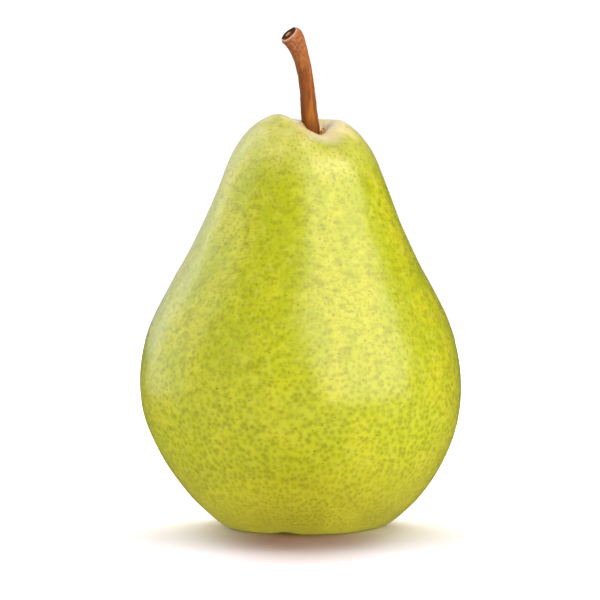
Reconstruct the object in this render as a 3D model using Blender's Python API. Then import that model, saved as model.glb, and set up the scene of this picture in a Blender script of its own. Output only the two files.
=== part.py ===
"""Pear standing on its base: fruit, woody stalk, the dried scale at its foot, and the dried calyx.

Metres, +Z up. The origin is the middle of the pear's box, on the surface that it rests on.
"""

import math

import bmesh
import bpy
from mathutils import Vector

MM = 0.001

# Driving dimensions of the fruit
GREATEST_RADIUS = 36.1 * MM
BODY_HEIGHT = 93.0 * MM
DEPTH_SHARE = 0.985  # the body is a little narrower front to back than side to side
SEGMENTS = 44
RINGS_PER_STRETCH = 2

# The body's outline from its resting ring up to the rim of the stalk cavity, as
# (share of the greatest radius, share of the body's height). Points below 0 are pressed flat.
BODY_OUTLINE = (
    (0.425, -0.002),
    (0.478, -0.002),
    (0.537, 0.008),
    (0.613, 0.036),
    (0.711, 0.071),
    (0.875, 0.166),
    (0.972, 0.261),
    (1.000, 0.352),
    (0.967, 0.454),
    (0.859, 0.552),
    (0.726, 0.648),
    (0.607, 0.746),
    (0.507, 0.843),
    (0.440, 0.908),
    (0.372, 0.948),
    (0.300, 0.975),
    (0.226, 0.992),
    (0.161, 1.000),
)

# The calyx basin under the fruit
BASIN_DEPTH = 6.2 * MM
BASIN_OUTLINE = ((0.100, 0.96), (0.205, 0.64), (0.310, 0.22))  # (share of radius, share of depth)
LOBES = 5
LOBE_ANGLE = math.radians(0.0)
LOBE_SWELL = 0.016  # share of the radius that a lobe stands out
LOBE_CLEFT = 0.45 * MM  # height of the clefts between the lobes at the resting ring
CLEFT_REACH = 31.0 * MM  # distance from the middle at which a cleft has run out
LOBE_FADE_HEIGHT = 26.0 * MM

# How far the middle of the body wanders off a straight line, along X and Y
BASE_SHIFT = Vector((0.7, 0.3)) * MM
NECK_SHIFT = Vector((0.45, -0.4)) * MM
BASE_SHIFT_TOP = 26.0 * MM
NECK_SHIFT_BOTTOM = 44.0 * MM
NECK_SHIFT_TOP = 76.0 * MM

# The stalk cavity, its socket, and the humps that stand round it
SOCKET_CENTRE = Vector((2.6, 0.0)) * MM
SOCKET_RADIUS = 2.15 * MM
SOCKET_FLOOR = 82.6 * MM
SOCKET_TOP = 86.4 * MM
CAVITY_OUTLINE = ((4.2, 91.8), (2.9, 88.9))  # (radius, height) in mm, between rim and socket
CAVITY_RIM = 6.6 * MM  # inside this distance the cavity's rings move over to the socket's middle
HUMP_ANGLE = math.radians(205.0)
HUMP_SPREAD = math.radians(70.0)
HUMP_RISE = 0.4 * MM
HUMP_FILL = 0.45  # share of the cavity's depth that the hump fills on its own side
GROOVE_ANGLE = math.radians(-72.0)
GROOVE_WIDTH = 4.2 * MM
GROOVE_DROP = 3.6 * MM
GROOVE_CREST = 6.0 * MM
GROOVE_END = 17.0 * MM

# The stalk's middle line, as (x, y, z, radius) in mm, from its root to the rim of its cut end
STALK_LINE = (
    (2.6, 0.0, 84.0, 1.70),
    (2.6, 0.0, 87.0, 1.78),
    (2.4, 0.0, 90.0, 1.90),
    (1.95, -0.1, 93.5, 1.84),
    (1.6, -0.2, 98.0, 1.68),
    (0.95, -0.3, 102.6, 1.70),
    (0.0, -0.4, 106.4, 1.86),
    (-0.9, -0.5, 109.0, 2.20),
    (-1.55, -0.6, 110.7, 2.52),
    (-2.15, -0.7, 111.9, 2.05),
)
STALK_SIDES = 16
STALK_RINGS_PER_STRETCH = 2
CUT_RIM = 0.45 * MM  # wall left round the hollow of the cut end
CUT_HOLLOW = 0.5 * MM

# The scale at the stalk's foot: a short strip that stands up and leans out a little
SCALE_ANGLE = math.radians(-35.0)
SCALE_DISTANCE = 2.4 * MM  # from the socket's middle
SCALE_FOOT = 89.2 * MM
SCALE_LENGTH = 1.6 * MM
SCALE_WIDTH = 1.3 * MM
SCALE_THICKNESS = 0.3 * MM
SCALE_CURL = math.radians(14.0)

# The calyx: five sepals round a tuft of dried stamens
SEPALS = 5
SEPAL_FOOT_RADIUS = 3.1 * MM
SEPAL_FOOT_HEIGHT = 5.2 * MM
SEPAL_WIDTH = 3.1 * MM
SEPAL_THICKNESS = 0.4 * MM
# A sepal's middle line as (distance out from its foot, drop below its foot) in mm, and its width share
SEPAL_LINE = ((0.0, 0.0, 0.80), (0.35, 1.4, 1.0), (1.3, 2.6, 0.86), (2.7, 3.2, 0.55), (4.1, 3.0, 0.16))
TUFT_RADIUS = 1.5 * MM
TUFT_LENGTH = 3.0 * MM
TUFT_POINTS = 9
TUFT_TOP = 5.3 * MM

SMOOTH_ANGLE = math.radians(50.0)


def clear_scene():
    """Remove every object of the scene."""
    for obj in list(bpy.data.objects):
        bpy.data.objects.remove(obj)


def make_material(name, colour, roughness):
    """Return a Principled material with this colour and roughness; nothing on a pear is metallic."""
    material = bpy.data.materials.new(name)
    material.use_nodes = True
    shader = material.node_tree.nodes["Principled BSDF"]
    shader.inputs["Base Color"].default_value = (*colour, 1.0)
    shader.inputs["Roughness"].default_value = roughness
    shader.inputs["Metallic"].default_value = 0.0
    return material


def add_object(name, bm, material):
    """Close a bmesh into a named, smooth-shaded object with its material."""
    bmesh.ops.recalc_face_normals(bm, faces=bm.faces)
    mesh = bpy.data.meshes.new(name)
    bm.to_mesh(mesh)
    bm.free()
    mesh.materials.append(material)
    mesh.shade_smooth()
    mesh.set_sharp_from_angle(angle=SMOOTH_ANGLE)
    obj = bpy.data.objects.new(name, mesh)
    bpy.context.scene.collection.objects.link(obj)
    return obj


def fade(value, start, end):
    """Return 0 at start and 1 at end, with a smooth step between them."""
    share = min(max((value - start) / (end - start), 0.0), 1.0)
    return share * share * (3.0 - 2.0 * share)


def near_angle(angle, middle, spread):
    """Return 1 at the middle angle, falling off as a bell of this spread."""
    turn = math.remainder(angle - middle, 2.0 * math.pi)
    return math.exp(-((turn / spread) ** 2))


def smooth_through(points, per_stretch):
    """Return points on a smooth curve through the given ones, as Vectors of the same length."""
    knots = [Vector(point) for point in points]
    lengths = [(b - a).length for a, b in zip(knots, knots[1:])]
    slopes = [(b - a) / length for a, b, length in zip(knots, knots[1:], lengths)]
    tangents = [slopes[0]]
    for before, after, slope_in, slope_out in zip(lengths, lengths[1:], slopes, slopes[1:]):
        tangents.append((slope_in * after + slope_out * before) / (before + after))
    tangents.append(slopes[-1])
    curve = []
    for index, length in enumerate(lengths):
        start, end = knots[index], knots[index + 1]
        pull_out, pull_in = tangents[index] * length, tangents[index + 1] * length
        for step in range(per_stretch):
            t = step / per_stretch
            curve.append(
                start * (2 * t**3 - 3 * t**2 + 1)
                + pull_out * (t**3 - 2 * t**2 + t)
                + end * (3 * t**2 - 2 * t**3)
                + pull_in * (t**3 - t**2)
            )
    curve.append(knots[-1])
    return curve


def fruit_outline():
    """Return the fruit's whole outline as (radius, height), from the basin's middle to the socket's."""
    basin = [(0.0, BASIN_DEPTH)]
    basin += [(share * GREATEST_RADIUS, depth * BASIN_DEPTH) for share, depth in BASIN_OUTLINE]
    body = [(share * GREATEST_RADIUS, height * BODY_HEIGHT) for share, height in BODY_OUTLINE]
    cavity = [(radius * MM, height * MM) for radius, height in CAVITY_OUTLINE]
    curve = smooth_through([*basin, *body, *cavity, (SOCKET_RADIUS, SOCKET_TOP)], RINGS_PER_STRETCH)
    return [*curve, Vector((SOCKET_RADIUS, SOCKET_FLOOR)), Vector((0.0, SOCKET_FLOOR))]


def crown_rise(radius, angle, height):
    """Return how much the hump and the groove lift a point of the crown; the socket keeps its shape."""
    bell = near_angle(angle, HUMP_ANGLE, HUMP_SPREAD)
    inside = fade(radius, SOCKET_RADIUS, 1.3 * SOCKET_RADIUS)
    inside *= 1.0 - fade(radius, CAVITY_RIM, 2.0 * CAVITY_RIM)
    fill = HUMP_FILL * (BODY_HEIGHT - height) if radius < CAVITY_RIM else 0.0
    hump = bell * inside * (HUMP_RISE + fill)
    turn = angle - GROOVE_ANGLE
    across, ahead = radius * math.sin(turn), radius * math.cos(turn)
    reach = fade(ahead, SOCKET_RADIUS, GROOVE_CREST) * (1.0 - fade(ahead, GROOVE_CREST, GROOVE_END))
    return hump - GROOVE_DROP * reach * math.exp(-((across / GROOVE_WIDTH) ** 2))


def shape_fruit_point(radius, angle, height):
    """Move a point of the turned body to its place on the natural, uneven one."""
    in_crown = height > NECK_SHIFT_TOP
    low = 1.0 - fade(height, 0.0, LOBE_FADE_HEIGHT)
    lobe = math.cos(LOBES * (angle - LOBE_ANGLE))
    cleft = ((1.0 - lobe) / 2.0) ** 2 * math.sin(math.pi * min(radius / CLEFT_REACH, 1.0))
    height = max(height + low * LOBE_CLEFT * cleft, 0.0)
    place = Vector((math.cos(angle), math.sin(angle) * DEPTH_SHARE))
    place *= radius * (1.0 + LOBE_SWELL * low * lobe)
    place += BASE_SHIFT * (1.0 - fade(height, 0.0, BASE_SHIFT_TOP))
    place += NECK_SHIFT * fade(height, NECK_SHIFT_BOTTOM, NECK_SHIFT_TOP)
    if in_crown:
        inward = 1.0 - fade(radius, 1.3 * SOCKET_RADIUS, CAVITY_RIM)
        place += (SOCKET_CENTRE - NECK_SHIFT) * inward
        height += crown_rise(radius, angle, height)
    return Vector((place.x, place.y, height))


def build_fruit(material):
    """Spin the outline into the body, then make it lobed, humped and slightly bent."""
    bm = bmesh.new()
    outline = [bm.verts.new((point.x, 0.0, point.y)) for point in fruit_outline()]
    edges = [bm.edges.new(pair) for pair in zip(outline, outline[1:])]
    bmesh.ops.spin(
        bm,
        geom=[*outline, *edges],
        cent=(0.0, 0.0, 0.0),
        axis=(0.0, 0.0, 1.0),
        angle=2.0 * math.pi,
        steps=SEGMENTS,
        use_merge=True,
    )
    bmesh.ops.remove_doubles(bm, verts=bm.verts, dist=0.001 * MM)
    for vert in bm.verts:
        radius = math.hypot(vert.co.x, vert.co.y)
        vert.co = shape_fruit_point(radius, math.atan2(vert.co.y, vert.co.x), vert.co.z)
    return add_object("fruit", bm, material)


def ring_frame(along):
    """Return two unit vectors across a direction that is never level."""
    across = Vector((0.0, 1.0, 0.0)).cross(along).normalized()
    return across, along.cross(across).normalized()


def add_ring(bm, middle, along, radius, sides):
    """Add a circle of vertices round a point, square to a direction."""
    across, beside = ring_frame(along)
    ring = []
    for side in range(sides):
        angle = 2.0 * math.pi * side / sides
        offset = across * math.cos(angle) + beside * math.sin(angle)
        ring.append(bm.verts.new(middle + offset * radius))
    return ring


def join_rings(bm, lower, upper):
    """Bridge two rings of the same number of vertices with quads."""
    count = len(lower)
    for side in range(count):
        after = (side + 1) % count
        bm.faces.new((lower[side], lower[after], upper[after], upper[side]))


def build_stalk(material):
    """Sweep the stalk along its middle line and hollow its cut end a little."""
    bm = bmesh.new()
    line = [tuple(value * MM for value in point) for point in STALK_LINE]
    curve = smooth_through(line, STALK_RINGS_PER_STRETCH)
    rings = []
    for index, point in enumerate(curve):
        before = curve[max(index - 1, 0)].xyz
        after = curve[min(index + 1, len(curve) - 1)].xyz
        along = (after - before).normalized()
        rings.append(add_ring(bm, point.xyz, along, point.w, STALK_SIDES))
    tip = curve[-1]
    end = (tip.xyz - curve[-2].xyz).normalized()
    rings.append(add_ring(bm, tip.xyz, end, tip.w - CUT_RIM, STALK_SIDES))
    rings.append(add_ring(bm, tip.xyz - end * CUT_HOLLOW, end, tip.w - 2.0 * CUT_RIM, STALK_SIDES))
    for lower, upper in zip(rings, rings[1:]):
        join_rings(bm, lower, upper)
    bm.faces.new(rings[0])
    bm.faces.new(rings[-1])
    return add_object("stalk", bm, material)


def build_strip(name, sections, material):
    """Loft a thin closed strip through sections of (middle, outward normal, side, width, thickness)."""
    bm = bmesh.new()
    rings = []
    for middle, normal, side, width, thickness in sections:
        half, lift = side * (width / 2.0), normal * (thickness / 2.0)
        shoulder = half * 0.6
        corners = (middle - half, middle - shoulder - lift, middle + shoulder - lift)
        corners += (middle + half, middle + shoulder + lift, middle - shoulder + lift)
        rings.append([bm.verts.new(corner) for corner in corners])
    for lower, upper in zip(rings, rings[1:]):
        join_rings(bm, lower, upper)
    bm.faces.new(rings[0])
    bm.faces.new(rings[-1])
    return add_object(name, bm, material)


def build_sepal(number, material):
    """Make one sepal, which hangs from the basin's floor and curls outwards."""
    angle = LOBE_ANGLE + 2.0 * math.pi * (number - 0.5) / SEPALS
    out = Vector((math.cos(angle), math.sin(angle), 0.0))
    side = Vector((-out.y, out.x, 0.0))
    foot = out * SEPAL_FOOT_RADIUS + Vector((*BASE_SHIFT, SEPAL_FOOT_HEIGHT))
    line = smooth_through(SEPAL_LINE, 2)
    middles = [foot + out * (point.x * MM) - Vector((0.0, 0.0, point.y * MM)) for point in line]
    sections = []
    for index, point in enumerate(line):
        before = middles[max(index - 1, 0)]
        after = middles[min(index + 1, len(middles) - 1)]
        normal = side.cross((after - before).normalized())
        width = SEPAL_WIDTH * point.z
        thickness = SEPAL_THICKNESS * (0.6 + 0.4 * point.z)
        sections.append((middles[index], normal, side, width, thickness))
    return build_strip(f"sepal_{number}", sections, material)


def build_tuft(material):
    """Make the tuft as a fluted cone that opens downwards, with a point for each bundle."""
    bm = bmesh.new()
    middle = Vector((*BASE_SHIFT, 0.0))
    rings = []
    for share_down, share_out, flute in ((0.0, 0.55, 0.0), (0.45, 0.6, 0.12), (1.0, 1.0, 0.3)):
        ring = []
        for side in range(2 * TUFT_POINTS):
            angle = math.pi * side / TUFT_POINTS
            radius = TUFT_RADIUS * share_out * (1.0 - flute * (side % 2))
            drop = TUFT_LENGTH * share_down * (1.0 - 0.5 * flute * (side % 2))
            place = (radius * math.cos(angle), radius * math.sin(angle), TUFT_TOP - drop)
            ring.append(bm.verts.new(middle + Vector(place)))
        rings.append(ring)
    for lower, upper in zip(rings, rings[1:]):
        join_rings(bm, lower, upper)
    bm.faces.new(rings[0])
    floor = bm.verts.new(middle + Vector((0.0, 0.0, TUFT_TOP - 0.6 * TUFT_LENGTH)))
    for side, corner in enumerate(rings[-1]):
        bm.faces.new((corner, rings[-1][(side + 1) % len(rings[-1])], floor))
    return add_object("stamen_tuft", bm, material)


def build_foot_scale(material):
    """Make the dried scale that stands in the cavity beside the stalk."""
    out = Vector((math.cos(SCALE_ANGLE), math.sin(SCALE_ANGLE), 0.0))
    side = Vector((-out.y, out.x, 0.0))
    foot = Vector((*SOCKET_CENTRE, SCALE_FOOT)) + out * SCALE_DISTANCE
    sections = []
    steps = 5
    for step in range(steps):
        share = step / (steps - 1)
        lean = SCALE_CURL * share * share
        bend = out * math.sin(lean) + Vector((0.0, 0.0, math.cos(lean)))
        middle = foot + bend * (SCALE_LENGTH * share)
        normal = side.cross(bend)
        sections.append((middle, normal, side, SCALE_WIDTH * (1.0 - 0.5 * share), SCALE_THICKNESS))
    return build_strip("foot_scale", sections, material)


def centre_on_origin(objects):
    """Move the meshes so that their common box stands on the origin with its base's middle."""
    points = [vert.co for obj in objects for vert in obj.data.vertices]
    low = Vector(min(point[axis] for point in points) for axis in range(3))
    high = Vector(max(point[axis] for point in points) for axis in range(3))
    shift = Vector((-(low.x + high.x) / 2.0, -(low.y + high.y) / 2.0, -low.z))
    for obj in objects:
        for vert in obj.data.vertices:
            vert.co += shift


def build_pear():
    """Build every piece of the pear and stand it on the origin."""
    clear_scene()
    skin = make_material("pear_skin", (0.56, 0.60, 0.06), 0.42)
    bark = make_material("stalk_bark", (0.28, 0.10, 0.03), 0.6)
    dried_leaf = make_material("dried_calyx", (0.10, 0.055, 0.03), 0.8)
    dried_scale = make_material("dried_scale", (0.24, 0.10, 0.04), 0.8)
    pieces = [build_fruit(skin), build_stalk(bark), build_foot_scale(dried_scale)]
    pieces += [build_sepal(number, dried_leaf) for number in range(1, SEPALS + 1)]
    pieces.append(build_tuft(dried_leaf))
    centre_on_origin(pieces)


build_pear()
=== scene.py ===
"""A ripe green pear dressed over its CAD frame: skin, stalk, foot scale and dried calyx.

Lengths are metres in the frame's own axes: +Z up from the resting surface, -Y towards the front.
"""

import bisect
import logging
import math
import random
from collections.abc import Callable, Iterator, Sequence
from contextlib import contextmanager
from dataclasses import dataclass
from enum import Enum

import bpy
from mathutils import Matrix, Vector


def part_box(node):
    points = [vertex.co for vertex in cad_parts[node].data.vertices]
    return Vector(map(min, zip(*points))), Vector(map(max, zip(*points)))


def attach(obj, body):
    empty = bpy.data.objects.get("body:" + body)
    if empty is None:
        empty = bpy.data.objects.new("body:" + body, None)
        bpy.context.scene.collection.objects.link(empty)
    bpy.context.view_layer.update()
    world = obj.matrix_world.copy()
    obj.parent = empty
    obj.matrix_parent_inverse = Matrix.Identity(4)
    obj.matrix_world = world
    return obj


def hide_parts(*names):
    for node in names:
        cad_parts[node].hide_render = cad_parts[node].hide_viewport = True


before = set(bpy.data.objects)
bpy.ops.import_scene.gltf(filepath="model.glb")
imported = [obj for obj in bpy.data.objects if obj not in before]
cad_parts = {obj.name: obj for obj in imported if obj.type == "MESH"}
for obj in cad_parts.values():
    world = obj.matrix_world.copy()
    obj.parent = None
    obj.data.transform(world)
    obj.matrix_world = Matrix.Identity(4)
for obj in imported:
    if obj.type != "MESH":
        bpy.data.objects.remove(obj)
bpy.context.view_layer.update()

LOG = logging.getLogger("pear")
MM = 0.001
BODY = "root"
CREASE_ANGLE = math.radians(60.0)  # a sharper edge is not shaded smooth
SMALLEST_TURN = 1e-6  # radians
SAME_PLACE = 1e-7  # metres between two points taken as one
GOLDEN_ANGLE = math.radians(137.5)  # turn from one thread of the tuft to the next

Colour = tuple[float, float, float]
Socket = bpy.types.NodeSocket
Value = float | Socket
Point = float | Vector


# ---------------------------------------------------------------- modelling bench


@dataclass(frozen=True)
class Ring:
    """One ring of a turned or swept form.

    Attributes:
        centre: Middle of the ring.
        radius: Radius of the ring.
        lean: Turn of the ring about +Y, in radians by the right-hand rule.
        nod: Turn of the ring about +X, in radians by the right-hand rule.
    """

    centre: Vector
    radius: float
    lean: float = 0.0
    nod: float = 0.0


@dataclass(frozen=True)
class Grab:
    """One soft pull on a surface, as a modeller makes with proportional editing.

    Attributes:
        place: Point that the pull starts from; the nearest vertex is taken.
        move: How far that vertex goes.
        reach: Distance at which the pull has faded out.
    """

    place: tuple[float, float, float]
    move: tuple[float, float, float]
    reach: float


def deselect_all() -> None:
    """Leave object mode with nothing selected."""
    if bpy.context.object and bpy.context.object.mode != "OBJECT":
        bpy.ops.object.mode_set(mode="OBJECT")
    bpy.ops.object.select_all(action="DESELECT")


def take_up(obj: bpy.types.Object) -> None:
    """Select one object alone and make it active.

    Args:
        obj: Object to work on.
    """
    deselect_all()
    obj.select_set(True)
    bpy.context.view_layer.objects.active = obj


@contextmanager
def edit_mode() -> Iterator[None]:
    """Work on the active object in edit mode, with vertices as the selection."""
    bpy.ops.object.mode_set(mode="EDIT")
    bpy.ops.mesh.select_mode(type="VERT")
    yield
    bpy.ops.object.mode_set(mode="OBJECT")


def select_vertices(obj: bpy.types.Object, test: Callable[[Vector], bool]) -> None:
    """Select the vertices whose place passes a test.

    Args:
        obj: Object in object mode.
        test: Says whether a place is wanted.
    """
    for part in (obj.data.polygons, obj.data.edges):
        part.foreach_set("select", [False] * len(part))
    for vertex in obj.data.vertices:
        vertex.select = test(vertex.co)


def apply_modifier(obj: bpy.types.Object, kind: str, **settings: object) -> None:
    """Add a modifier, set it up and apply it.

    Args:
        obj: Object to change.
        kind: Modifier type, such as SUBSURF.
        settings: Values of the modifier's own properties.
    """
    take_up(obj)
    modifier = obj.modifiers.new(kind.title(), kind)
    for name, value in settings.items():
        setattr(modifier, name, value)
    bpy.ops.object.modifier_apply(modifier=modifier.name)


def subdivide(obj: bpy.types.Object, levels: int) -> None:
    """Smooth a mesh with Catmull-Clark subdivision.

    Args:
        obj: Object to smooth.
        levels: Number of subdivisions.
    """
    apply_modifier(obj, "SUBSURF", levels=levels, render_levels=levels)


def roughen(obj: bpy.types.Object, grain: float, depth: float, seed: int) -> None:
    """Push a surface in and out along its normals with a soft cloud pattern.

    Args:
        obj: Object to roughen.
        grain: Size of the pattern's lumps.
        depth: Height from the lowest hollow to the highest lump.
        seed: Picks the pattern's depth of detail, so two pieces differ.
    """
    texture = bpy.data.textures.new(f"lumps_{obj.name}_{seed}", "CLOUDS")
    texture.noise_scale = grain
    texture.noise_depth = 1 + seed % 2
    texture.noise_basis = ("ORIGINAL_PERLIN", "IMPROVED_PERLIN")[seed % 2]
    apply_modifier(
        obj, "DISPLACE", texture=texture, strength=depth, mid_level=0.5, texture_coords="LOCAL"
    )


def grow_rings(name: str, rings: Sequence[Ring], sides: int) -> bpy.types.Object:
    """Extrude a circle from ring to ring and close both ends on a point.

    Args:
        name: Name of the new object.
        rings: Rings in order; the first and the last are small enough to close.
        sides: Corners in each ring.

    Returns:
        The closed object, with its faces turned out.
    """
    deselect_all()
    first = rings[0]
    bpy.ops.mesh.primitive_circle_add(vertices=sides, radius=first.radius, location=first.centre)
    obj = bpy.context.object
    obj.name = obj.data.name = name
    bpy.ops.object.transform_apply(location=True, rotation=False, scale=False)
    with edit_mode():
        turn_ring(first.lean, first.nod, first.centre)
        for before, ring in zip(rings, rings[1:]):
            step = ring.centre - before.centre
            bpy.ops.mesh.extrude_region_move(TRANSFORM_OT_translate={"value": step})
            share = ring.radius / before.radius
            bpy.ops.transform.resize(value=(share, share, share), center_override=ring.centre)
            turn_ring(ring.lean - before.lean, ring.nod - before.nod, ring.centre)
        bpy.ops.mesh.merge(type="CENTER")
    for vertex in obj.data.vertices:
        vertex.select = vertex.index < sides
    with edit_mode():
        bpy.ops.mesh.merge(type="CENTER")
        bpy.ops.mesh.select_all(action="SELECT")
        bpy.ops.mesh.normals_make_consistent(inside=False)
    return obj


def flat_leaf(name: str, columns: int, rows: int, length: float, width: float) -> bpy.types.Object:
    """Add a flat grid round the origin, from which a thin leaf is shaped.

    Args:
        name: Name of the new object.
        columns: Faces along X.
        rows: Faces along Y.
        length: Size along X.
        width: Size along Y.

    Returns:
        The grid.
    """
    deselect_all()
    bpy.ops.mesh.primitive_grid_add(x_subdivisions=columns, y_subdivisions=rows, size=1.0)
    obj = bpy.context.object
    obj.name = obj.data.name = name
    with edit_mode():
        bpy.ops.mesh.select_all(action="SELECT")
        bpy.ops.transform.resize(value=(length, width, 1.0), center_override=(0.0, 0.0, 0.0))
    return obj


def turn_ring(lean: float, nod: float, centre: Vector) -> None:
    """Turn the selection about +Y and +X, by the right-hand rule.

    Args:
        lean: Turn about +Y in radians.
        nod: Turn about +X in radians.
        centre: Point that stays in place.
    """
    for axis, angle in (("Y", lean), ("X", nod)):
        if abs(angle) > SMALLEST_TURN:
            bpy.ops.transform.rotate(value=-angle, orient_axis=axis, center_override=centre)


def soft_grab(obj: bpy.types.Object, grab: Grab) -> None:
    """Pull the vertex nearest to a place, and its neighbours with it.

    Args:
        obj: Object to shape.
        grab: The pull.
    """
    place = Vector(grab.place)
    nearest = min(obj.data.vertices, key=lambda vertex: (vertex.co - place).length_squared)
    take_up(obj)
    chosen = nearest.co.copy()
    select_vertices(obj, lambda spot: (spot - chosen).length < SAME_PLACE)
    with edit_mode():
        bpy.ops.transform.translate(
            value=grab.move,
            use_proportional_edit=True,
            proportional_edit_falloff="SMOOTH",
            proportional_size=grab.reach,
        )


def fade(value: float, start: float, end: float) -> float:
    """Return a smooth step from 0 at start to 1 at end.

    Args:
        value: Where to read the step.
        start: Value at which the step leaves 0.
        end: Value at which the step reaches 1.

    Returns:
        A share from 0 to 1.
    """
    share = min(max((value - start) / (end - start), 0.0), 1.0)
    return share * share * (3.0 - 2.0 * share)


def hermite(start: Point, end: Point, pull_out: Point, pull_in: Point, t: float) -> Point:
    """Read one stretch of a smooth curve.

    Args:
        start: Value at the start.
        end: Value at the end.
        pull_out: Slope at the start, over the whole stretch.
        pull_in: Slope at the end, over the whole stretch.
        t: Where to read, from 0 to 1.

    Returns:
        The value there.
    """
    near_start = start * (2 * t**3 - 3 * t**2 + 1) + pull_out * (t**3 - 2 * t**2 + t)
    return near_start + (end * (3 * t**2 - 2 * t**3) + pull_in * (t**3 - t**2))


def read_curve(knots: Sequence[float], values: Sequence[float], at: float) -> float:
    """Read a smooth curve through values, level beyond both ends.

    Args:
        knots: Rising places of the values.
        values: Values at the knots.
        at: Where to read the curve.

    Returns:
        The value there.
    """
    last = len(knots) - 1
    if at <= knots[0]:
        return values[0]
    if at >= knots[last]:
        return values[last]
    index = bisect.bisect_right(knots, at) - 1
    width = knots[index + 1] - knots[index]
    pulls = []
    for knot in (index, index + 1):
        before, after = max(knot - 1, 0), min(knot + 1, last)
        slope = (values[after] - values[before]) / (knots[after] - knots[before])
        pulls.append(0.0 if knot in (0, last) else slope * width)
    return hermite(values[index], values[index + 1], *pulls, (at - knots[index]) / width)


def smooth_through(points: Sequence[Sequence[float]], per_stretch: int) -> list[Vector]:
    """Read a smooth curve through given points.

    Args:
        points: Points of any one length.
        per_stretch: Points read from each stretch between two given ones.

    Returns:
        The curve's points, the given ones among them.
    """
    knots = [Vector(point) for point in points]
    lengths = [(after - before).length for before, after in zip(knots, knots[1:])]
    slopes = [(after - before) / length for before, after, length in zip(knots, knots[1:], lengths)]
    tangents = [slopes[0]]
    for before, after, slope_in, slope_out in zip(lengths, lengths[1:], slopes, slopes[1:]):
        tangents.append((slope_in * after + slope_out * before) / (before + after))
    tangents.append(slopes[-1])
    curve = []
    for index, length in enumerate(lengths):
        start, end = knots[index], knots[index + 1]
        pulls = (tangents[index] * length, tangents[index + 1] * length)
        curve += [hermite(start, end, *pulls, step / per_stretch) for step in range(per_stretch)]
    curve.append(knots[-1])
    return curve


def hand_in(obj: bpy.types.Object, node: str, material: bpy.types.Material) -> None:
    """Dress a finished piece and tie it to the CAD node that it stands for.

    Args:
        obj: Finished piece.
        node: CAD node that it replaces.
        material: Finish of the piece.
    """
    take_up(obj)
    bpy.ops.object.transform_apply(location=True, rotation=True, scale=True)
    obj.data.materials.clear()
    obj.data.materials.append(material)
    bpy.ops.object.shade_smooth_by_angle(angle=CREASE_ANGLE)
    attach(obj, BODY)
    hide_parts(node)
    LOG.info("%s: %d faces, stands for %s", obj.name, len(obj.data.polygons), node)


# ---------------------------------------------------------------- finishes


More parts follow.
